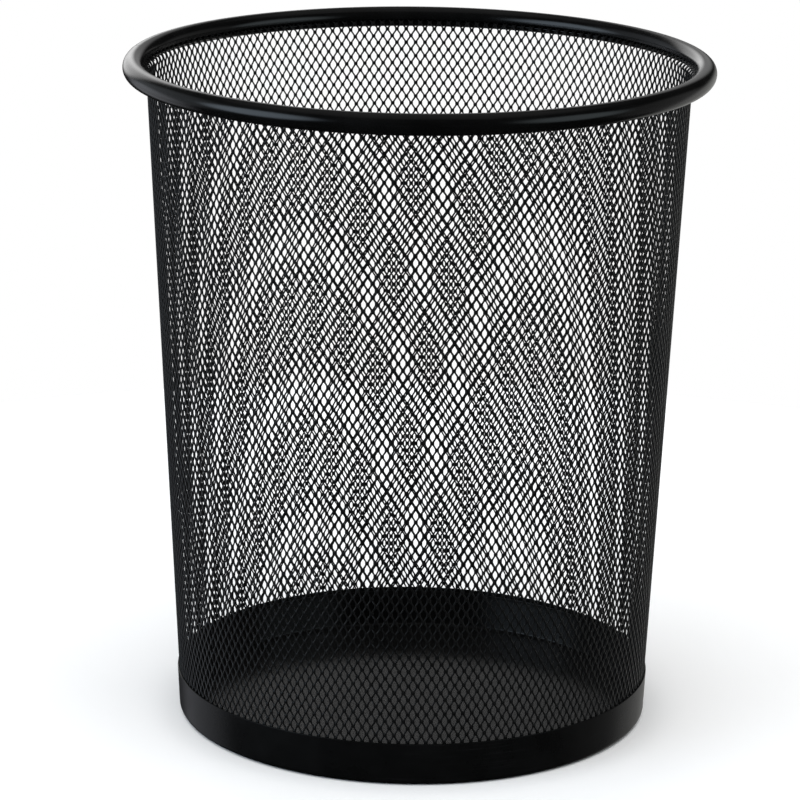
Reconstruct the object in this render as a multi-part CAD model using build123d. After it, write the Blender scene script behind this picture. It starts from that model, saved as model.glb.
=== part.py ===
from build123d import *
import os
from math import atan, cos, hypot, radians, sin, sqrt, tan

# Round mesh wastebasket.  Millimetres, +Z up, origin at the centre of the ring it stands on.
# A tapered wall of expanded steel mesh, a rolled tube rim whose slot grips the wall's top edge,
# and a solid steel base: an outer band and a floor plate with an upturned flange, with the
# bottom edge of the mesh squeezed between the two.

# ---- driving dimensions -------------------------------------------------------------------
RIM_CENTRE_Z = 335.0          # height of the rim tube's centre line
RIM_CENTRE_R = 142.3          # radius of the rim tube's centre line
RIM_TUBE_R = 5.2              # outer radius of the rim tube
RIM_SHEET = 0.8               # wall of the rim tube
RIM_WELD_PROUD = 0.12         # how far the weld that closes the hoop stands out of the tube
RIM_WELD_ARC = 0.8            # degrees of the hoop that the weld fills

MESH_T = 0.8                  # thickness of the coated mesh sheet
WALL_R_AT_BAND = 120.6        # outer radius of the mesh at the top of the base band
WALL_R_AT_RIM = 135.9         # outer radius that the mesh would have at the rim's centre height
MESH_BOTTOM_Z = 4.2           # lower edge of the mesh, inside the base
BEND_START_Z = 330.5          # where the mesh starts to turn outward into the rim
BEND_R = 2.5                  # radius of that turn, at the middle of the sheet
BEND_TURN = 50.0              # degrees it turns outward
TUCK = 5.0                    # straight length past the turn, ending inside the tube

BAND_TOP_Z = 22.0             # height of the base band
BASE_SHEET = 0.7              # sheet of the band and of the floor plate
BASE_CORNER_R = 3.0           # corner radius of both, at the middle of the sheet
FOOT_INNER_R = 112.0          # inner radius of the band's turned-in foot
FLANGE_TOP_Z = 20.5           # top of the floor plate's flange

COLUMNS = 170                 # columns of mesh openings around the wall
LAP_COLUMNS = 2               # columns doubled in the side seam
SEAM_ANGLE = 172.0            # where the side seam is, degrees from +X towards +Y
LAP_BOTTOM_Z = 23.0           # visible length of the doubled strip
LAP_TOP_Z = 329.0
WELD_COUNT = 12               # spot welds down the seam
WELD_R = 2.0
WELD_PROUD = 0.3
WELD_END_MARGIN = 14.0        # from the ends of the doubled strip to the first and last weld

SLOPE = (WALL_R_AT_RIM - WALL_R_AT_BAND) / (RIM_CENTRE_Z - BAND_TOP_Z)


def wall_line_r(z, out=0.0):
    """Radius at height z of a line parallel to the mesh's outer face and out mm outside it."""
    return WALL_R_AT_BAND + SLOPE * (z - BAND_TOP_Z) + out * sqrt(1 + SLOPE ** 2)


def bent_strip(start, corner, end, bend_r, thickness):
    """Section of a sheet that runs start-corner-end with one rounded bend, drawn as (r, z)."""
    def unit(a, b):
        length = hypot(b[0] - a[0], b[1] - a[1])
        return (b[0] - a[0]) / length, (b[1] - a[1]) / length

    u = unit(start, corner)
    v = unit(corner, end)
    turn_side = 1 if u[0] * v[1] - u[1] * v[0] > 0 else -1
    cos_turn = u[0] * v[0] + u[1] * v[1]
    half_tan = sqrt((1 - cos_turn) / (1 + cos_turn))
    sides = []
    for side in (1, -1):
        nu = (-u[1] * side, u[0] * side)
        nv = (-v[1] * side, v[0] * side)
        reach = thickness / 2 / (1 + cos_turn)
        c = (corner[0] + (nu[0] + nv[0]) * reach, corner[1] + (nu[1] + nv[1]) * reach)
        r = bend_r - side * turn_side * thickness / 2
        a = (c[0] - u[0] * r * half_tan, c[1] - u[1] * r * half_tan)
        b = (c[0] + v[0] * r * half_tan, c[1] + v[1] * r * half_tan)
        first = (start[0] + nu[0] * thickness / 2, start[1] + nu[1] * thickness / 2)
        last = (end[0] + nv[0] * thickness / 2, end[1] + nv[1] * thickness / 2)
        centre = (a[0] + nu[0] * side * turn_side * r, a[1] + nu[1] * side * turn_side * r)
        away = unit(centre, c)
        middle = (centre[0] + away[0] * r, centre[1] + away[1] * r)
        sides.append((first, a, middle, b, last))
    left, right = sides
    outline = [
        Line(left[0], left[1]),
        ThreePointArc(left[1], left[2], left[3]),
        Line(left[3], left[4]),
        Line(left[4], right[4]),
        Line(right[4], right[3]),
        ThreePointArc(right[3], right[2], right[1]),
        Line(right[1], right[0]),
        Line(right[0], left[0]),
    ]
    return make_face(outline)


def cone_strip(z0, z1, inner_out, outer_out):
    """Section of a layer that follows the wall between two heights."""
    corners = [
        (wall_line_r(z0, inner_out), z0),
        (wall_line_r(z0, outer_out), z0),
        (wall_line_r(z1, outer_out), z1),
        (wall_line_r(z1, inner_out), z1),
    ]
    return make_face(Polyline(corners, close=True))


def turned(face, arc=360.0, start=0.0):
    """Revolve an (r, z) section about the basket's axis, from a start angle."""
    return revolve(Plane.XZ * face, Axis.Z, arc).rotate(Axis.Z, start)


def ring_section(radius):
    """Disc section centred on the rim tube's centre line."""
    return Pos(RIM_CENTRE_R, RIM_CENTRE_Z) * Circle(radius)


os.makedirs("parts", exist_ok=True)

# ---- mesh wall: one tapered sheet, turned outward at the top, doubled along the seam --------
lean = atan(SLOPE)
bend_length = BEND_R * tan(radians(BEND_TURN) / 2)
bend_corner = (
    wall_line_r(BEND_START_Z, -MESH_T / 2) + sin(lean) * bend_length,
    BEND_START_Z + cos(lean) * bend_length,
)
tuck_angle = radians(90 - BEND_TURN) - lean
tuck_end = (
    bend_corner[0] + cos(tuck_angle) * (bend_length + TUCK),
    bend_corner[1] + sin(tuck_angle) * (bend_length + TUCK),
)
mesh_start = (wall_line_r(MESH_BOTTOM_Z, -MESH_T / 2), MESH_BOTTOM_Z)
mesh_section = bent_strip(mesh_start, bend_corner, tuck_end, BEND_R, MESH_T)
lap_arc = LAP_COLUMNS * 360.0 / COLUMNS
lap_section = cone_strip(LAP_BOTTOM_Z, LAP_TOP_Z, 0.0, MESH_T)
mesh_wall = turned(mesh_section) + turned(lap_section, lap_arc, SEAM_ANGLE - lap_arc / 2)

# ---- spot welds down the seam ---------------------------------------------------------------
weld_span = LAP_TOP_Z - LAP_BOTTOM_Z - 2 * WELD_END_MARGIN
nuggets = []
for index in range(WELD_COUNT):
    z = LAP_BOTTOM_Z + WELD_END_MARGIN + weld_span * index / (WELD_COUNT - 1)
    layer = cone_strip(z - 2 * WELD_R, z + 2 * WELD_R, MESH_T, MESH_T + WELD_PROUD)
    skin = turned(layer, lap_arc, SEAM_ANGLE - lap_arc / 2)
    punch = Rot(0, 0, SEAM_ANGLE) * Pos(wall_line_r(z), 0, z) * Rot(0, 90, 0) * Cylinder(WELD_R, 12)
    nuggets.append((skin & punch).solids()[0])
seam_welds = Compound(nuggets)

# ---- rim: a tube rolled round the mesh's top edge, and the weld that closes the hoop --------
bore = ring_section(RIM_TUBE_R - RIM_SHEET)
tube_section = ring_section(RIM_TUBE_R) - bore - mesh_section
weld_section = ring_section(RIM_TUBE_R + RIM_WELD_PROUD) - bore - mesh_section
rim_tube = turned(tube_section, 360 - RIM_WELD_ARC, SEAM_ANGLE + RIM_WELD_ARC / 2)
rim_weld = turned(weld_section, RIM_WELD_ARC, SEAM_ANGLE - RIM_WELD_ARC / 2)

# ---- base band: outside the mesh, turned in at the bottom to make the foot ------------------
foot_mid = BASE_SHEET / 2
band_out = BASE_SHEET / 2
base_band = turned(bent_strip(
    (FOOT_INNER_R, foot_mid),
    (wall_line_r(foot_mid, band_out), foot_mid),
    (wall_line_r(BAND_TOP_Z, band_out), BAND_TOP_Z),
    BASE_CORNER_R,
    BASE_SHEET,
))

# ---- floor plate: lies on the foot, its flange stands up inside the mesh --------------------
plate_mid = 1.5 * BASE_SHEET
flange_out = -MESH_T - BASE_SHEET / 2
base_plate = turned(bent_strip(
    (0.0, plate_mid),
    (wall_line_r(plate_mid, flange_out), plate_mid),
    (wall_line_r(FLANGE_TOP_Z, flange_out), FLANGE_TOP_Z),
    BASE_CORNER_R,
    BASE_SHEET,
))

nodes = {
    "mesh_wall": mesh_wall,
    "seam_welds": seam_welds,
    "rim_tube": rim_tube,
    "rim_weld": rim_weld,
    "base_band": base_band,
    "base_plate": base_plate,
}
for name, shape in nodes.items():
    export_step(shape, f"parts/{name}.step")
    box = shape.bounding_box()
    solids = shape.solids()
    print(name, len(solids), "solids", round(sum(s.volume for s in solids) / 1000, 2), "cm3",
          [round(v, 2) for v in (box.min.X, box.min.Y, box.min.Z, box.max.X, box.max.Y, box.max.Z)])
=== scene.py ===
import math

import bpy
import numpy as np
from mathutils import Matrix, Vector


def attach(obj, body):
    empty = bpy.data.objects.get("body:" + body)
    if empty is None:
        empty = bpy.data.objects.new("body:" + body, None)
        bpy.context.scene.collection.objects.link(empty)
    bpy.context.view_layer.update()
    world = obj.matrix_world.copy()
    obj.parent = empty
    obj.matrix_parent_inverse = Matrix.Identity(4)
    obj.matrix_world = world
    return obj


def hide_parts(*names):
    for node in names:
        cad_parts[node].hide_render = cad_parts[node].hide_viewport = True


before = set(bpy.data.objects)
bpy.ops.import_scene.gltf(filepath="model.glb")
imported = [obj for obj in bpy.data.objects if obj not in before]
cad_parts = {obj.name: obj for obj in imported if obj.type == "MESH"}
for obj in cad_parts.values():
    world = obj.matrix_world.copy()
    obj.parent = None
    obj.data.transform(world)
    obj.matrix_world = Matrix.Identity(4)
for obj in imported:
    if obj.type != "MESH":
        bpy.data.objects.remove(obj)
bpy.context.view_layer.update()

MM = 0.001
rng = np.random.default_rng(7)

# ---- sizes, in mm, as in the CAD model --------------------------------------------------
RIM_Z = 335.0            # middle of the rim tube's section
RIM_R = 142.3
TUBE_R = 5.2             # outer radius of the section
TUBE_T = 0.8
SLOT_HALF = 0.68         # half width of the slot that the mesh goes in by
RIM_WELD_ARC = 0.8       # degrees round the rim that the butt weld takes
RIM_WELD_PROUD = 0.12    # how far its bead stands out
MESH_T = 0.8             # the wall's sheet with its coat
BAND_TOP = 22.0
WALL_R_LOW = 120.6       # the wall's outer radius at BAND_TOP
WALL_R_HIGH = 135.9      # and at RIM_Z
SLOPE = (WALL_R_HIGH - WALL_R_LOW) / (RIM_Z - BAND_TOP)
LEAN = math.atan(SLOPE)
MESH_BOTTOM = 4.2
BEND_Z = 330.5           # where the wall's top edge starts to bend into the rim
BEND_R = 2.5
BEND_TURN = math.radians(50)
TUCK = 5.0               # straight length past the bend
SHEET = 0.7              # band and floor plate
FOOT_R = 112.0           # inner edge of the band's turned-in foot
FLANGE_TOP = 20.5        # top of the floor plate's flange
CORNER_R = 3.0
SEAM = math.radians(172)
WELDS = 12
WELD_Z = (37.0, 315.0)   # heights of the lowest and the highest spot weld

# ---- the expanded mesh ------------------------------------------------------------------
# Openings sit where both phases are whole multiples of pi and add up to an even one.
# A stretched mesh is never quite regular: its columns lean and its rows drift round the wall.
FRONT = 1.5 * math.pi           # azimuth of the side that the camera looks at
COLUMNS = (169.387, 0.877)      # columns in a full turn: mean, and how far front and back differ
COLUMN_START = -1.513           # column phase at the front
COLUMN_LEAN = (-1.051, -0.621)  # column phase gained per 100 mm of height, in the same two parts
ROW_START = 0.012               # row phase at the front
ROW_DRIFT = (0.0783, 0.3995)    # row phase gained per radian round the wall, and its swing
FRONT_ROWS = (4.3393, 168.51, -0.0159)   # strand length, columns, and stretch towards the top
BACK_ROWS = (4.3687, 170.264, 0.0008)
MID_Z = 170.0            # height where the row phase is counted from
LOW_ROW = -52            # the first row, below the sheet's lower edge
ROWS = 102               # rows from there to past its upper edge
SPARE_COLUMNS = 4        # columns built past each end of the sheet
SEARCH_PAST = 0.2        # radians past each end that columns are looked for
STRAND_HALF = 0.425      # half width of a strand at mid thickness
KNUCKLE_HALF = 1.0       # half width of a knuckle at mid thickness
TIP_CUT = 0.18           # how blunt the openings' pointed ends are
LEAST_SIDE = 0.05        # least half height of an opening's upright side
SHEET_HALF = 0.35        # half thickness of the metal
EDGE_ROUND = 0.21        # how much narrower the metal is at its two faces
LAP_HALF = math.radians(2.1176)
LAP_RAMP = math.radians(2.0)
LAP_LIFT = 0.84          # how far the lapped end sits outside the first layer
LAP_Z = (25.0, 328.5)    # the lapped end is cut back to these heights
LAP_START, LAP_RISE = 2.0, 3.0   # the lift starts this far below that, and grows over this length
LAP_STOP, LAP_FALL = 3.0, 4.0    # it is gone this far above that, and fades over this length
SHEET_START = SEAM - LAP_HALF
SHEET_END = SEAM + 2 * math.pi + LAP_HALF
SECTORS = 8              # pieces the wall is split into, to give each room for baked textures
CAP_CORNERS = 6          # corners of a strand's cut end
UV_MARGIN = 0.01         # empty border of each piece's UV map


def wall_r(z, out=0.0):
    """Radius of the wall's outer face at height z, moved out by so many mm square to the face."""
    return WALL_R_LOW + SLOPE * (z - BAND_TOP) + out * math.sqrt(1 + SLOPE * SLOPE)


STRAIGHT = (BEND_Z - MESH_BOTTOM) / math.cos(LEAN)
PATH_END = STRAIGHT + BEND_R * BEND_TURN + TUCK


def path_at(z):
    """Length up the sheet from its lower edge to height z."""
    return (z - MESH_BOTTOM) / math.cos(LEAN)


def mesh_profile(s):
    """Middle of the sheet at path length s: radius, height, and outward normal."""
    s = np.asarray(s, float)
    up = np.array([math.sin(LEAN), math.cos(LEAN)])
    out = np.array([math.cos(LEAN), -math.sin(LEAN)])
    start = np.array([wall_r(MESH_BOTTOM, -MESH_T / 2), MESH_BOTTOM])
    turn = np.clip((s - STRAIGHT) / BEND_R, 0, BEND_TURN)
    centre = start + up * STRAIGHT + out * BEND_R
    n = np.stack([np.cos(LEAN + turn), -np.sin(LEAN + turn)], -1)
    u = np.stack([np.sin(LEAN + turn), np.cos(LEAN + turn)], -1)
    low = start + up * np.minimum(s, STRAIGHT)[..., None]
    past = np.clip(s - STRAIGHT - BEND_R * BEND_TURN, 0, None)
    high = centre - n * BEND_R + u * past[..., None]
    p = np.where((s < STRAIGHT)[..., None], low, high)
    return p[..., 0], p[..., 1], n[..., 0], n[..., 1]


HEIGHTS = np.linspace(-12.0, 352.0, 3641)    # every 0.1 mm, and well past both edges of the sheet


def row_table(strand, columns, stretch):
    """Row phase and half the row period at every height in HEIGHTS."""
    half_a = math.pi * wall_r(HEIGHTS, -MESH_T / 2) / columns
    half = np.sqrt(strand**2 - half_a**2) * (1 + stretch * (HEIGHTS - MID_Z) / MID_Z)
    ds = (HEIGHTS[1] - HEIGHTS[0]) / math.cos(LEAN)
    phase = np.concatenate([[0], np.cumsum(2 * math.pi * ds / (half[1:] + half[:-1]))])
    return phase - np.interp(MID_Z, HEIGHTS, phase), half


def column_phase(phi):
    """Column phase at azimuth phi and height MID_Z."""
    return COLUMNS[0] * (phi - FRONT) - COLUMNS[1] * np.cos(phi) + COLUMN_START


def lattice(m, n):
    """Openings at column phase pi*m and row phase pi*n: azimuth, path length, width, height, and
    the wall's radius there. Columns lean with height and rows drift round the wall, so the place
    is found in a few rounds."""
    turns = np.linspace(SHEET_START - SEARCH_PAST, SHEET_END + SEARCH_PAST, 20001)
    columns = column_phase(turns)
    rows_f, half_f = row_table(*FRONT_ROWS)
    rows_b, half_b = row_table(*BACK_ROWS)
    z = np.full(m.shape, MID_Z)
    for _ in range(5):
        phi = np.interp(math.pi * m, columns, turns)
        for _ in range(3):
            lean = COLUMN_LEAN[0] + COLUMN_LEAN[1] * np.sin(phi)
            phi = np.interp(math.pi * m - lean * (z - MID_Z) / 100, columns, turns)
        back = (1 + np.sin(phi)) / 2
        drift = ROW_START + ROW_DRIFT[0] * (phi - FRONT) - ROW_DRIFT[1] * np.cos(phi)
        want = math.pi * n - drift
        z = (1 - back) * np.interp(want, rows_f, HEIGHTS) + back * np.interp(want, rows_b, HEIGHTS)
    half = (1 - back) * np.interp(z, HEIGHTS, half_f) + back * np.interp(z, HEIGHTS, half_b)
    r = wall_r(np.clip(z, 0, BEND_Z), -MESH_T / 2)
    columns_here = COLUMNS[0] + COLUMNS[1] * np.sin(phi)
    return phi, path_at(z), 2 * math.pi * r / columns_here, 2 * half, r


def opening_corners(a, b, strand_half, knuckle_half):
    """Eight corners round an opening's centre, anticlockwise from its right side's upper end."""
    length = np.hypot(a / 2, b / 2)
    nx = b / 2 / length
    ny = a / 2 / length
    d = a * b / 4 / length - strand_half
    hx = a / 2 - knuckle_half
    hy = np.maximum((d - nx * hx) / ny, LEAST_SIDE)
    ty = d / ny - TIP_CUT
    tx = (d - ny * ty) / nx
    xs = np.stack([hx, tx, -tx, -hx, -hx, -tx, tx, hx], -1)
    ys = np.stack([hy, ty, ty, hy, -hy, -ty, -ty, -hy], -1)
    return xs, ys


def smooth(t):
    t = np.clip(t, 0, 1)
    return t * t * (3 - 2 * t)


def mesh_points(phi_c, s_c, a, b, r_c):
    """Corner points of every opening at the outer skin, mid thickness and inner skin, and their
    flat coordinates."""
    phis, ss, lifts = [], [], []
    for inset, height in ((EDGE_ROUND, SHEET_HALF), (0.0, 0.0), (EDGE_ROUND, -SHEET_HALF)):
        xs, ys = opening_corners(a, b, STRAND_HALF - inset, KNUCKLE_HALF - inset)
        phis.append(phi_c[..., None] + xs / r_c[..., None])
        ss.append(s_c[..., None] + ys)
        lifts.append(np.full_like(xs, height))
    phi = np.stack(phis, 2)
    s = np.stack(ss, 2)
    lift = np.stack(lifts, 2)
    started = smooth((s - path_at(LAP_Z[0] - LAP_START)) / LAP_RISE)
    ended = smooth((path_at(LAP_Z[1] + LAP_STOP) - s) / LAP_FALL)
    lapped = smooth((phi - (SHEET_END - 2 * LAP_HALF - LAP_RAMP)) / LAP_RAMP)
    lift = lift + LAP_LIFT * lapped * (started * ended)
    r, z, nr, nz = mesh_profile(s)
    rr = r + nr * lift
    zz = z + nz * lift
    verts = np.stack([rr * np.cos(phi), rr * np.sin(phi), zz], -1).reshape(-1, 3) * MM
    uvs = np.stack([phi, s / 100], -1).reshape(-1, 2)
    return verts, uvs


def in_sheet(phi, s):
    """Whether metal at azimuth phi and path length s is part of the trimmed sheet."""
    inside = (phi > SHEET_START) & (phi < SHEET_END) & (s > 0) & (s < PATH_END)
    past_lap = (s < path_at(LAP_Z[0])) | (s > path_at(LAP_Z[1]))
    return inside & ~((phi > SHEET_END - 2 * LAP_HALF) & past_lap)


def sector_of(phi):
    """Which piece of the wall the metal at azimuth phi goes into."""
    share = (phi - SHEET_START) / (SHEET_END - SHEET_START)
    return np.clip(np.floor(share * SECTORS).astype(int), 0, SECTORS - 1)


def build_mesh_wall():
    """The wall: strands and knuckles between staggered openings, in sectors round the axis."""
    first = math.floor(column_phase(SHEET_START) / (2 * math.pi)) - SPARE_COLUMNS
    n_cols = math.ceil(column_phase(SHEET_END) / (2 * math.pi)) + SPARE_COLUMNS - first
    jj, ii = np.meshgrid(np.arange(ROWS), np.arange(n_cols), indexing="ij")
    phi_c, s_c, a, b, r_c = lattice(2 * (ii + first) + jj % 2, jj + LOW_ROW)
    verts, uvs = mesh_points(phi_c, s_c, a, b, r_c)
    jj, ii = np.meshgrid(np.arange(1, ROWS - 2), np.arange(1, n_cols - 1), indexing="ij")
    i, j = ii.ravel(), jj.ravel()
    odd = j % 2
    right, left = i + odd, i - 1 + odd

    def between(p, q):
        """Azimuth halfway between two openings, and whether the metal there is in the sheet."""
        phi = (phi_c[p[1], p[0]] + phi_c[q[1], q[0]]) / 2
        s = (s_c[p[1], p[0]] + s_c[q[1], q[0]]) / 2
        return phi, in_sheet(phi, s)

    phi_r, keep_r = between((i, j), (right, j + 1))
    phi_l, keep_l = between((i, j), (left, j + 1))
    phi_k, keep_k = between((i, j), (i, j + 2))
    phi_ul, keep_ul = between((left, j + 1), (i, j + 2))
    phi_ur, keep_ur = between((right, j + 1), (i, j + 2))
    faces = {}

    def vid(col, row, level, corner):
        return ((row * n_cols + col) * 3 + level) * 8 + corner

    def add(ids, keep, at):
        faces.setdefault(ids.shape[1], []).append((ids[keep], at[keep]))

    def edge_wall(col, row, k0, k1, keep, at):
        for upper, lower in ((0, 1), (1, 2)):
            ids = [vid(col, row, upper, k0), vid(col, row, upper, k1)]
            ids += [vid(col, row, lower, k1), vid(col, row, lower, k0)]
            add(np.stack(ids, -1), keep, at)

    def skins(ring, keep, at):
        outer = np.stack([vid(c, r, 0, k) for c, r, k in ring], -1)
        inner = np.stack([vid(c, r, 2, k) for c, r, k in reversed(ring)], -1)
        add(outer, keep, at)
        add(inner, keep, at)

    def cap(p, q, keep, at):
        ids = [vid(*p[:2], level, p[2]) for level in (0, 1, 2)]
        ids += [vid(*q[:2], level, q[2]) for level in (2, 1, 0)]
        add(np.stack(ids, -1), keep, at)

    skins([(i, j, 0), (right, j + 1, 5), (right, j + 1, 4), (i, j, 1)], keep_r, phi_r)
    edge_wall(i, j, 0, 1, keep_r, phi_r)
    edge_wall(right, j + 1, 4, 5, keep_r, phi_r)
    skins([(left, j + 1, 6), (i, j, 3), (i, j, 2), (left, j + 1, 7)], keep_l, phi_l)
    edge_wall(i, j, 2, 3, keep_l, phi_l)
    edge_wall(left, j + 1, 6, 7, keep_l, phi_l)
    ring = [(i, j, 2), (i, j, 1), (right, j + 1, 4), (right, j + 1, 3)]
    ring += [(i, j + 2, 6), (i, j + 2, 5), (left, j + 1, 0), (left, j + 1, 7)]
    skins(ring, keep_k, phi_k)
    edge_wall(i, j, 1, 2, keep_k, phi_k)
    edge_wall(right, j + 1, 3, 4, keep_k, phi_k)
    edge_wall(i, j + 2, 5, 6, keep_k, phi_k)
    edge_wall(left, j + 1, 7, 0, keep_k, phi_k)
    # where a strand and a knuckle don't both belong to one piece, each gets an end face
    joints = (
        (phi_r, keep_r, (i, j, 1), (right, j + 1, 4)),
        (phi_l, keep_l, (left, j + 1, 7), (i, j, 2)),
        (phi_ul, keep_ul, (i, j + 2, 5), (left, j + 1, 0)),
        (phi_ur, keep_ur, (right, j + 1, 3), (i, j + 2, 6)),
    )
    for phi_s, keep_s, p, q in joints:
        apart = sector_of(phi_s) != sector_of(phi_k)
        cap(q, p, keep_s & (apart | ~keep_k), phi_s)
        cap(p, q, keep_k & (apart | ~keep_s), phi_k)

    made = []
    for k in range(SECTORS):
        chosen = []
        for size in sorted(faces):
            ids = np.concatenate([f for f, _ in faces[size]])
            at = np.concatenate([phi for _, phi in faces[size]])
            chosen.append(ids[sector_of(at) == k])
        made.append(mesh_from_arrays(f"mesh_wall_{k + 1}", verts, uvs, chosen, flat=CAP_CORNERS))
    return made


def mesh_from_arrays(name, verts, uvs, faces, flat=0):
    """A mesh object of the listed faces. A face with that number of corners, flat, is not smoothed."""
    used = np.unique(np.concatenate([f.ravel() for f in faces]))
    renumber = np.full(len(verts), -1)
    renumber[used] = np.arange(len(used))
    loops = np.concatenate([renumber[f].ravel() for f in faces])
    sizes = np.concatenate([np.full(len(f), f.shape[1]) for f in faces])
    starts = np.concatenate([[0], np.cumsum(sizes)[:-1]])
    mesh = bpy.data.meshes.new(name)
    mesh.vertices.add(len(used))
    mesh.vertices.foreach_set("co", verts[used].astype(np.float32).ravel())
    mesh.loops.add(len(loops))
    mesh.loops.foreach_set("vertex_index", loops.astype(np.int32))
    mesh.polygons.add(len(sizes))
    mesh.polygons.foreach_set("loop_start", starts.astype(np.int32))
    mesh.polygons.foreach_set("use_smooth", sizes != flat)
    mesh.update(calc_edges=True)
    if uvs is not None:
        part = uvs[used]
        low, high = part.min(0), part.max(0)
        part = UV_MARGIN + (1 - 2 * UV_MARGIN) * (part - low) / (high - low)
        layer = mesh.uv_layers.new(name="OFBake")
        layer.data.foreach_set("uv", part[loops].astype(np.float32).ravel())
    mesh.validate()
    ob = bpy.data.objects.new(name, mesh)
    bpy.context.scene.collection.objects.link(ob)
    return ob


# ---- turned pieces ----------------------------------------------------------------------
TUBE_STEPS = (96, 64, 8)         # steps along the tube's outer face, its inner face, and a lip
RIM_WANDER = ((0.10, 3, 0.7), (0.05, 7, 2.1))    # mm, waves in a turn, and phase: in and out
RIM_LIFT = ((0.06, 2, 1.9), (0.04, 5, 0.4))      # and up and down
BEAD_FROM, BEAD_TO = -150, 180   # degrees round the tube that the butt weld's bead covers
BEAD_T = 0.3
BEAD_SUNK = 0.03                 # how far the bead's ends lie below the tube's face
BEAD_RIPPLE = (0.03, 9, 1.0)     # mm, waves round the tube, and phase
FOOT_CHAMFER = 0.2               # on the foot's inner edge
BAND_SIDES = (0.3, 0.5)          # how far below its top each side stops: outside and inside
PLATE_SIDES = (0.4, 0.6)
WELD_PROFILE = (                 # mm from a spot weld's middle, and mm out of the metal's face
    (0.0, 0.10), (0.9, 0.11), (1.35, 0.16), (1.62, 0.33), (1.82, 0.36), (2.0, 0.26),
    (2.08, 0.05), (2.1, -0.30), (0.0, -0.30),
)
WELD_STEPS = 32
WELD_STRAY = 0.25                # mm that a spot weld is off its place
WELD_SPREAD = 0.03               # share that its size varies by
WELD_WAVES = ((0.03, 3, 1), (0.02, 5, 2))    # share of the size, waves round, and shift per weld


def arc(cx, cz, radius, start, end, count):
    turns = [math.radians(start + (end - start) * k / count) for k in range(count + 1)]
    return [(cx + radius * math.cos(t), cz + radius * math.sin(t)) for t in turns]


def waves(parts, theta):
    return sum(size * np.sin(count * theta + phase) for size, count, phase in parts)


def turned(name, outline, segments=360, start=0.0, sweep=2 * math.pi, shape=None):
    """Turns a closed outline of (radius, height) points about the axis. A short sweep gets end
    caps, and points on the axis are shared by all rings."""
    pts = np.array(outline, float)
    full = abs(sweep - 2 * math.pi) < 1e-6
    rings = segments if full else segments + 1
    theta = (start + sweep * np.arange(rings) / segments)[:, None]
    r = np.repeat(pts[None, :, 0], rings, 0)
    z = np.repeat(pts[None, :, 1], rings, 0)
    if shape is not None:
        r, z = shape(r, z, theta)
    verts = np.stack([r * np.cos(theta), r * np.sin(theta), z], -1).reshape(-1, 3) * MM
    n = len(pts)
    i, k = np.meshgrid(np.arange(segments), np.arange(n), indexing="ij")
    i, k = i.ravel(), k.ravel()
    j, m = (i + 1) % rings, (k + 1) % n
    pole = pts[:, 0] == 0.0

    def corner(ring, point):
        return np.where(pole[point], point, ring * n + point)

    quads = np.stack([corner(i, k), corner(j, k), corner(j, m), corner(i, m)], -1)
    near, far = pole[k], pole[m]
    faces = [quads[~near & ~far]]
    faces += [quads[near & ~far][:, [0, 2, 3]], quads[far & ~near][:, [0, 1, 2]]]
    if not full:
        ends = np.stack([np.arange(n), segments * n + np.arange(n)[::-1]])
        faces.append(ends)
    return mesh_from_arrays(name, verts, None, faces, flat=n)


def build_rim():
    """The rolled tube, open along a slot where the mesh turns into it."""
    s = np.linspace(STRAIGHT, PATH_END, 400)
    r, z, _, _ = mesh_profile(s)
    hit = int(np.argmin(np.abs(np.hypot(r - RIM_R, z - RIM_Z) - TUBE_R)))
    slot_at = math.degrees(math.atan2(z[hit] - RIM_Z, r[hit] - RIM_R)) % 360
    past = math.degrees(SLOT_HALF / TUBE_R) + math.degrees(TUBE_T / 2 / TUBE_R)
    first, last = slot_at - past, slot_at + past
    outer_steps, inner_steps, lip_steps = TUBE_STEPS

    def lip(turn, start):
        """Half a circle round the edge of the strip at this turn of the section."""
        t = math.radians(turn)
        mid = TUBE_R - TUBE_T / 2
        centre = RIM_R + mid * math.cos(t), RIM_Z + mid * math.sin(t)
        return arc(*centre, TUBE_T / 2, start, start + 180, lip_steps)

    outline = arc(RIM_R, RIM_Z, TUBE_R, last - 360, first, outer_steps)
    outline += lip(first, first)[1:]
    outline += arc(RIM_R, RIM_Z, TUBE_R - TUBE_T, first, last - 360, inner_steps)[1:]
    outline += lip(last, last + 180)[1:-1]

    def settle(r, z, theta):
        """A rolled tube is never quite true: it wanders a little in and out and up and down."""
        return r + waves(RIM_WANDER, theta), z + waves(RIM_LIFT, theta)

    return turned("rim_tube_roll", outline, shape=settle)


def build_rim_weld():
    """The ground-back bead where the tube's two ends meet."""
    half = math.radians(RIM_WELD_ARC / 2)

    def swell(r, z, theta):
        t = (theta - SEAM) / half
        crown = np.clip(1 - t * t, 0, 1)
        turn = np.arctan2(z - RIM_Z, r - RIM_R)
        size = TUBE_R + RIM_WELD_PROUD * crown - BEAD_SUNK + waves((BEAD_RIPPLE,), turn) * crown
        outer = np.hypot(r - RIM_R, z - RIM_Z) > TUBE_R - BEAD_T / 2
        r = np.where(outer, RIM_R + size * np.cos(turn), r)
        z = np.where(outer, RIM_Z + size * np.sin(turn), z)
        return r, z

    outline = arc(RIM_R, RIM_Z, TUBE_R, BEAD_FROM, BEAD_TO, 72)
    outline += arc(RIM_R, RIM_Z, TUBE_R - BEAD_T, BEAD_TO, BEAD_FROM, 72)
    return turned("rim_weld_bead", outline, 24, SEAM - half, 2 * half, swell)


def wall_points(start, end, out, shares):
    """Outline points on the wall's cone moved out by so many mm, at these shares of the way up."""
    return [(wall_r(z, out), z) for z in (start + (end - start) * share for share in shares)]


def top_edge(top, out):
    """The rounded upper edge of a sheet whose middle is moved out by so many mm."""
    lean = math.degrees(LEAN)
    z = top - SHEET / 2
    return arc(wall_r(z, out), z, SHEET / 2, -lean, 180 - lean, 10)


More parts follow.
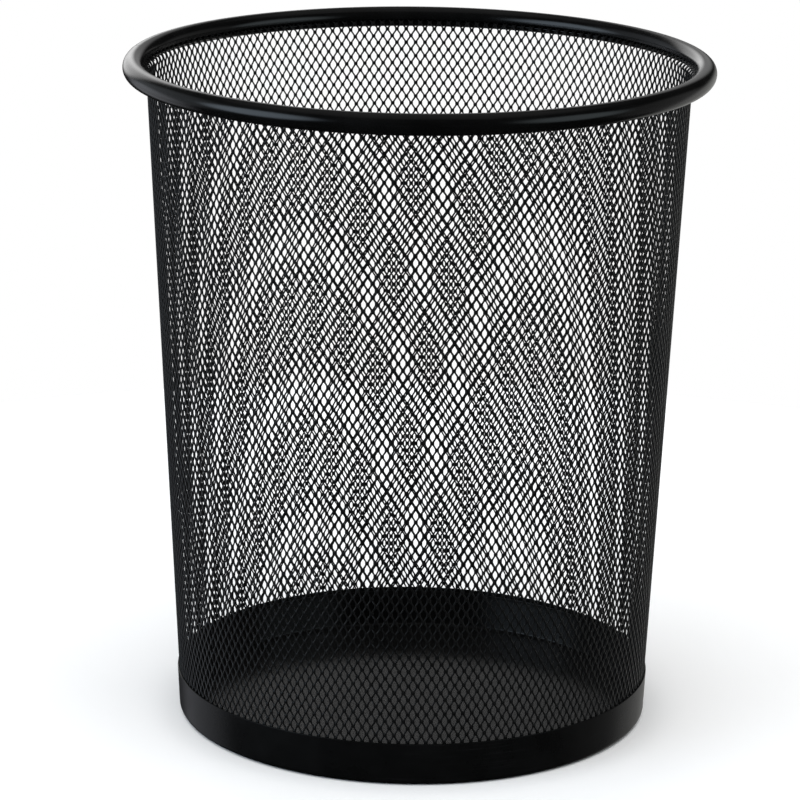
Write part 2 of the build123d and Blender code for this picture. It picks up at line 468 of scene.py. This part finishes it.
def band_outline():
    """From the foot's inner edge out along the underside, round the corner, up the wall, and back
    inside."""
    lean = math.degrees(LEAN)
    foot = FOOT_R + FOOT_CHAMFER
    # centre of the rounded corner: CORNER_R above the floor and CORNER_R inside the sloping wall
    centre_z = CORNER_R
    centre_r = wall_r(centre_z, SHEET) - CORNER_R / math.cos(LEAN)
    drop = CORNER_R * math.sin(LEAN)
    points = [(foot + (centre_r - foot) * k / 3, 0.0) for k in range(3)]
    points += arc(centre_r, centre_z, CORNER_R, -90, -lean, 16)
    outside, inside = (BAND_TOP - below for below in BAND_SIDES)
    points += wall_points(centre_z - drop, outside - drop, SHEET, [k / 7 for k in range(1, 8)])
    points += top_edge(BAND_TOP, SHEET / 2)
    points += wall_points(centre_z, inside, 0.0, [k / 8 for k in range(7, -1, -1)])
    points += arc(centre_r, centre_z, CORNER_R - SHEET, -lean, -90, 12)[1:]
    points += [(foot, SHEET), (FOOT_R, SHEET - FOOT_CHAMFER), (FOOT_R, FOOT_CHAMFER)]
    return points


def plate_outline():
    """The floor plate with its turned-up flange, as a closed section from the axis outward."""
    lean = math.degrees(LEAN)
    out = -MESH_T
    corner = CORNER_R - MESH_T
    centre_z = SHEET + corner
    centre_r = wall_r(centre_z, out) - corner / math.cos(LEAN)
    points = [(centre_r * k / 12, SHEET) for k in range(12)]
    points += arc(centre_r, centre_z, corner, -90, -lean, 12)
    outside, inside = (FLANGE_TOP - below for below in PLATE_SIDES)
    points += wall_points(centre_z, outside, out, [k / 6 for k in range(1, 7)])
    points += top_edge(FLANGE_TOP, out - SHEET / 2)
    points += wall_points(centre_z, inside, out - SHEET, [k / 6 for k in range(5, -1, -1)])
    points += arc(centre_r, centre_z, corner - SHEET, -lean, -90, 10)[1:]
    points += [(centre_r * k / 12, 2 * SHEET) for k in range(11, -1, -1)]
    return points


def weld_points(w, jitter, grow, side, skin):
    """Points of one face of spot weld w, ring by ring from its middle out, down and back under it."""
    z0 = WELD_Z[0] + (WELD_Z[1] - WELD_Z[0]) * w / (WELDS - 1)
    points = []
    for rad, height in WELD_PROFILE:
        for k in range(1 if rad == 0 else WELD_STEPS):
            t = 2 * math.pi * k / WELD_STEPS
            wave = sum(size * math.sin(n * t + shift * w) for size, n, shift in WELD_WAVES)
            x = rad * grow * (1 + wave) * math.cos(t) + jitter[0]
            y = rad * grow * (1 + wave) * math.sin(t) + jitter[1]
            r, z, nr, nz = (float(q) for q in mesh_profile(path_at(z0) + y))
            lift = skin + side * height
            th = SEAM + x / r
            rr = r + nr * lift
            points.append((rr * math.cos(th), rr * math.sin(th), z + nz * lift))
    return points


def build_seam_welds():
    """Spot welds down the lap: round flats pressed into both faces, each with a low ring squeezed
    up round it."""
    verts, fans, quads = [], [], []
    for w in range(WELDS):
        jitter = rng.normal(0, WELD_STRAY, 2)
        for side, skin in ((1, LAP_LIFT + MESH_T / 2), (-1, -MESH_T / 2)):
            grow = 1 + rng.normal(0, WELD_SPREAD)
            base = len(verts)
            verts += weld_points(w, jitter, grow, side, skin)
            for k in range(WELD_STEPS):
                m = (k + 1) % WELD_STEPS
                a = base + 1
                fans.append((base, a + k, a + m)[::side])
                for _ in range(len(WELD_PROFILE) - 3):
                    quads.append((a + k, a + WELD_STEPS + k, a + WELD_STEPS + m, a + m)[::side])
                    a += WELD_STEPS
                fans.append((a + k, a + WELD_STEPS, a + m)[::side])
    faces = [np.array(fans), np.array(quads)]
    return mesh_from_arrays("seam_weld_spots", np.array(verts) * MM, None, faces)


# ---- materials --------------------------------------------------------------------------
# Noises: scale per metre, detail and roughness. Spans: the noise values a look fades in between.
CLOUD = (38.0, 5.0, 0.62)                # uneven colour and gloss
TINT_SPAN, GLOSS_SPAN = (0.35, 0.68), (0.3, 0.7)
PEEL_DETAIL = (2.0, 0.5)                 # orange peel, whose scale each coat sets
PATCHES, PATCH_SPAN = (24.0, 2.0, 0.5), (0.50, 0.72)    # where scuffs gather
HAIRS, HAIR_SPAN = (1.0, 2.0, 0.6), (0.58, 0.70)        # and the scuffs themselves
SCUFF_LONG, SCUFF_FINE = 30.0, 2600.0    # scale along and across them, per metre
SCUFF_LOW = (0.002, 0.006)               # heights in metres that the foot's scuffs fade between
SCUFF_FOOT = 0.12                        # what the foot adds to the patches
SCUFF_GREY = (0.016, 0.016, 0.017)
SCUFF_ROUGH = 0.16                       # roughness that a full scuff adds
SPECKS, SPECK_SPAN = (900.0, 3.0, 0.7), (0.48, 0.72)    # dust specks, also painted light on faces that look up
DUST_AND_LIGHT_FACING = (0.55, 1.0)                # how far up a face looks, from no dust and painted light to all of it
DUST_AND_LIGHT_COLOUR = (0.32, 0.31, 0.29)


def node(tree, kind, at, **inputs):
    n = tree.nodes.new(kind)
    n.location = at
    for key, value in inputs.items():
        n.inputs[key.replace("_", " ")].default_value = value
    return n


def ramp(tree, at, stops, fac):
    """A ramp between two colours, given as (place, colour)."""
    n = node(tree, "ShaderNodeValToRGB", at)
    for element, (place, colour) in zip(n.color_ramp.elements, stops):
        element.position = place
        element.color = (*colour, 1)
    tree.links.new(fac, n.inputs["Fac"])
    return n.outputs["Color"]


def noise(tree, at, vector, scale, detail, roughness):
    n = node(tree, "ShaderNodeTexNoise", at, Scale=scale, Detail=detail, Roughness=roughness)
    tree.links.new(vector, n.inputs["Vector"])
    return n.outputs["Fac"]


def span(tree, at, value, low, high, to_low=0.0, to_high=1.0):
    """Maps low..high to to_low..to_high, and holds it there outside."""
    n = node(tree, "ShaderNodeMapRange", at, From_Min=low, From_Max=high)
    n.inputs["To Min"].default_value = to_low
    n.inputs["To Max"].default_value = to_high
    tree.links.new(value, n.inputs["Value"])
    return n.outputs["Result"]


def maths(tree, at, operation, *terms):
    """A Math node. Each term is a number or a socket."""
    n = node(tree, "ShaderNodeMath", at)
    n.operation = operation
    for slot, term in zip(n.inputs, terms):
        if isinstance(term, float):
            slot.default_value = term
        else:
            tree.links.new(term, slot)
    return n.outputs["Value"]


def blend_to(tree, at, colour, other, share):
    n = node(tree, "ShaderNodeMix", at)
    n.data_type = "RGBA"
    n.inputs["B"].default_value = (*other, 1)
    tree.links.new(share, n.inputs["Factor"])
    tree.links.new(colour, n.inputs["A"])
    return n.outputs["Result"]


def grey(v):
    return (v, v, v)


def scuffs(tree, place):
    """Hairline scuffs that run round the piece, in patches, and gather near the floor."""
    stretch = node(tree, "ShaderNodeVectorMath", (-850, 1000))
    stretch.operation = "MULTIPLY"
    stretch.inputs[1].default_value = (SCUFF_LONG, SCUFF_LONG, SCUFF_FINE)
    tree.links.new(place, stretch.inputs[0])
    hairs = noise(tree, (-650, 1000), stretch.outputs["Vector"], *HAIRS)
    patches = noise(tree, (-650, 1200), place, *PATCHES)
    height = node(tree, "ShaderNodeSeparateXYZ", (-650, 1400))
    tree.links.new(place, height.inputs["Vector"])
    foot = span(tree, (-450, 1400), height.outputs["Z"], *SCUFF_LOW[::-1], 0.0, SCUFF_FOOT)
    covered = span(tree, (-50, 1300), maths(tree, (-250, 1300), "ADD", patches, foot), *PATCH_SPAN)
    lines = span(tree, (-450, 1000), hairs, *HAIR_SPAN)
    return maths(tree, (150, 1150), "MULTIPLY", covered, lines)


def dust_and_painted_light(tree, place, dust_and_light):
    """Fine dust specks on the faces that look up, which also paint light onto them."""
    specks = noise(tree, (-600, 550), place, *SPECKS)
    facing = node(tree, "ShaderNodeNewGeometry", (-600, 800))
    split = node(tree, "ShaderNodeSeparateXYZ", (-400, 800))
    tree.links.new(facing.outputs["Normal"], split.inputs["Vector"])
    level = span(tree, (-200, 800), split.outputs["Z"], *DUST_AND_LIGHT_FACING, 0.0, dust_and_light)
    shown = span(tree, (-350, 550), specks, *SPECK_SPAN)
    return maths(tree, (0, 650), "MULTIPLY", level, shown)


def coat(name, dark, light, rough, specular, peel, grain, wear, dust_and_light=0.0):
    """Black powder coat: fine orange peel, uneven gloss, a little wear, dust and painted light."""
    mat = bpy.data.materials.new(name)
    mat.use_nodes = True
    tree = mat.node_tree
    tree.nodes.clear()
    link = tree.links.new
    out = node(tree, "ShaderNodeOutputMaterial", (900, 0))
    bsdf = node(tree, "ShaderNodeBsdfPrincipled", (600, 0))
    bsdf.inputs["Specular IOR Level"].default_value = specular
    bsdf.inputs["Metallic"].default_value = 0.0
    link(bsdf.outputs["BSDF"], out.inputs["Surface"])
    place = node(tree, "ShaderNodeTexCoord", (-900, 0)).outputs["Object"]

    cloud = noise(tree, (-600, 200), place, *CLOUD)
    colour = ramp(tree, (-350, 200), zip(TINT_SPAN, (dark, light)), cloud)
    gloss = span(tree, (-100, -150), cloud, *GLOSS_SPAN, *rough)

    bump = node(tree, "ShaderNodeBump", (300, -350), Strength=1.0, Distance=grain)
    link(noise(tree, (-600, -350), place, peel, *PEEL_DETAIL), bump.inputs["Height"])
    link(bump.outputs["Normal"], bsdf.inputs["Normal"])

    worn = maths(tree, (350, 1150), "MULTIPLY", scuffs(tree, place), wear)
    colour = blend_to(tree, (150, 200), colour, SCUFF_GREY, worn)
    roughness = maths(tree, (150, -150), "MULTIPLY_ADD", worn, SCUFF_ROUGH, gloss)
    # dust specks on faces that look up, also painted light that brightens them
    if dust_and_light:
        colour = blend_to(tree, (200, 400), colour, DUST_AND_LIGHT_COLOUR, dust_and_painted_light(tree, place, dust_and_light))
    link(colour, bsdf.inputs["Base Color"])
    link(roughness, bsdf.inputs["Roughness"])
    return mat


# ---- building ---------------------------------------------------------------------------
wall = build_mesh_wall()
rim = build_rim()
rim_weld = build_rim_weld()
band = turned("base_band_ring", band_outline())
plate = turned("base_plate_pan", plate_outline())
welds = build_seam_welds()

# dark and light tint, roughness from and to, specular level, orange peel's scale per metre and
# height in metres, wear, and dust with painted light
MESH_LOOK = (grey(0.003), grey(0.005), (0.30, 0.40), 0.16, 900.0, 0.00003, 0.2)
RIM_LOOK = (grey(0.002), grey(0.0035), (0.13, 0.20), 0.25, 700.0, 0.00001, 0.3)
BASE_LOOK = (grey(0.002), grey(0.0035), (0.24, 0.34), 0.07, 700.0, 0.00002, 0.35)
# only the plate gets dust, which also paints light onto its up-facing floor
PLATE_LOOK = (grey(0.003), grey(0.005), (0.13, 0.20), 0.25, 700.0, 0.00001, 0.4, 0.006)
mesh_coat = coat("mesh_powder_coat", *MESH_LOOK)
rim_coat = coat("rim_powder_coat", *RIM_LOOK)
base_coat = coat("base_powder_coat", *BASE_LOOK)
plate_coat = coat("plate_powder_coat", *PLATE_LOOK)

for ob in wall:
    ob.data.materials.append(mesh_coat)
    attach(ob, "root")
    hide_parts("mesh_wall")
for ob, replaced, mat, slot in (
    (rim, "rim_tube", rim_coat, "rim_coat"),
    (rim_weld, "rim_weld", rim_coat, "rim_coat"),
    (band, "base_band", base_coat, "base_coat"),
    (plate, "base_plate", plate_coat, "base_coat"),
    (welds, "seam_welds", mesh_coat, "mesh_coat"),
):
    ob.data.materials.append(mat)
    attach(ob, "root")
    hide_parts(replaced)

# ---- floor, lights, camera --------------------------------------------------------------
FLOOR_R, FLOOR_Z = 0.62, -0.0002
FLOOR_TINTS = ((0.3, grey(0.86)), (0.7, grey(0.88)))
FLOOR_NOISE = (3.0, 4.0, 0.5)
SKY_POWER = 3.6
SKY_WIDTH, SKY_TILT = math.radians(100), math.radians(12)


def floor_material():
    mat = bpy.data.materials.new("floor_paper")
    mat.use_nodes = True
    tree = mat.node_tree
    bsdf = tree.nodes["Principled BSDF"]
    bsdf.inputs["Specular IOR Level"].default_value = 0.1
    bsdf.inputs["Roughness"].default_value = 0.8
    place = node(tree, "ShaderNodeTexCoord", (-900, 0)).outputs["Object"]
    tint = ramp(tree, (-350, 0), FLOOR_TINTS, noise(tree, (-600, 0), place, *FLOOR_NOISE))
    tree.links.new(tint, bsdf.inputs["Base Color"])
    return mat


def disc(name, radius, z, segments=96):
    turns = np.linspace(0, 2 * math.pi, segments, endpoint=False)
    verts = np.stack([radius * np.cos(turns), radius * np.sin(turns), np.full(segments, z)], -1)
    return mesh_from_arrays(name, verts, None, [np.arange(segments)[None, :]])


floor = disc("floor", FLOOR_R, FLOOR_Z)
floor.data.materials.append(floor_material())
floor.visible_glossy = False

lamp = bpy.data.lights.new("sky_panel", "SUN")
lamp.energy = SKY_POWER
lamp.angle = SKY_WIDTH
sky = bpy.data.objects.new("sky_panel", lamp)
sky.rotation_euler = (SKY_TILT, 0, 0)
sky.visible_glossy = False
bpy.context.scene.collection.objects.link(sky)

# Softboxes far off, as the coat sees them: direction, cosines where each starts and is full,
# strength, tint. The camera itself sees plain white past the floor.
ROOM_GLOW = 0.015
PANELS = (
    ((-0.35, 0.91, 0.18), 0.93, 0.985, 1.6, (1.0, 1.0, 1.0)),
    ((0.48, 0.80, -0.36), 0.87, 0.97, 0.5, (1.0, 1.0, 0.97)),
    ((-0.76, 0.58, -0.30), 0.90, 0.97, 0.6, (0.90, 0.92, 1.0)),
    ((0.0, 0.955, 0.295), 0.93, 0.985, 0.45, (1.0, 1.0, 1.0)),
    ((-0.93, 0.30, 0.10), 0.80, 0.95, 0.5, (0.85, 0.92, 1.0)),
    ((0.93, 0.30, -0.10), 0.80, 0.95, 0.25, (1.0, 1.0, 1.0)),
    ((-0.88, -0.42, 0.18), 0.86, 0.975, 4.0, (0.72, 0.86, 1.0)),
    ((0.86, -0.46, 0.18), 0.88, 0.98, 1.6, (0.82, 0.95, 1.0)),
    ((0.0, 0.15, 0.99), 0.75, 0.95, 0.25, (1.0, 1.0, 1.0)),
)


def build_world():
    world = bpy.data.worlds.new("studio")
    bpy.context.scene.world = world
    world.use_nodes = True
    tree = world.node_tree
    tree.nodes.clear()
    link = tree.links.new
    out = node(tree, "ShaderNodeOutputWorld", (900, 0))
    seen = node(tree, "ShaderNodeBackground", (500, 150), Color=(1, 1, 1, 1), Strength=1.0)
    room = node(tree, "ShaderNodeBackground", (500, -150), Strength=1.0)
    path = node(tree, "ShaderNodeLightPath", (300, 400))
    blend = node(tree, "ShaderNodeMixShader", (700, 0))
    where = node(tree, "ShaderNodeTexCoord", (-900, 0))
    total = None
    for k, (direction, start, full, strength, tint) in enumerate(PANELS):
        dot = node(tree, "ShaderNodeVectorMath", (-600, -200 * k))
        dot.operation = "DOT_PRODUCT"
        dot.inputs[1].default_value = Vector(direction).normalized()
        link(where.outputs["Generated"], dot.inputs[0])
        glow = node(tree, "ShaderNodeMapRange", (-400, -200 * k), From_Min=start, From_Max=full)
        glow.interpolation_type = "SMOOTHSTEP"
        glow.inputs["To Max"].default_value = strength
        link(dot.outputs["Value"], glow.inputs["Value"])
        tinted = node(tree, "ShaderNodeVectorMath", (-200, -200 * k))
        tinted.operation = "MULTIPLY_ADD"
        tinted.inputs[1].default_value = tint
        link(glow.outputs["Result"], tinted.inputs[0])
        if total is None:
            tinted.inputs[2].default_value = grey(ROOM_GLOW)
        else:
            link(total, tinted.inputs[2])
        total = tinted.outputs["Vector"]
    link(total, room.inputs["Color"])
    link(path.outputs["Is Camera Ray"], blend.inputs["Fac"])
    link(room.outputs["Background"], blend.inputs[1])
    link(seen.outputs["Background"], blend.inputs[2])
    link(blend.outputs["Shader"], out.inputs["Surface"])


build_world()

# Solved from the outlines in the photograph.
CAMERA_AT = (0, -1.8887, 0.6955)
LENS = 173.4
PAN, PITCH, ROLL = -0.0041, 0.275, 0.0119
cam_data = bpy.data.cameras.new("camera")
cam_data.lens = LENS
cam_data.sensor_width = 36.0
cam_data.clip_start, cam_data.clip_end = 0.1, 100.0
cam = bpy.data.objects.new("camera", cam_data)
bpy.context.scene.collection.objects.link(cam)
fwd = Vector((math.sin(PAN) * math.cos(PITCH), math.cos(PAN) * math.cos(PITCH), -math.sin(PITCH)))
right = Vector((math.cos(PAN), -math.sin(PAN), 0))
up = right.cross(fwd)
cam_x = right * math.cos(ROLL) + up * math.sin(ROLL)
cam_y = up * math.cos(ROLL) - right * math.sin(ROLL)
turn = Matrix((cam_x, cam_y, -fwd)).transposed().to_4x4()
cam.matrix_world = Matrix.Translation(CAMERA_AT) @ turn
bpy.context.scene.camera = cam
bpy.context.scene.view_settings.view_transform = "Standard"
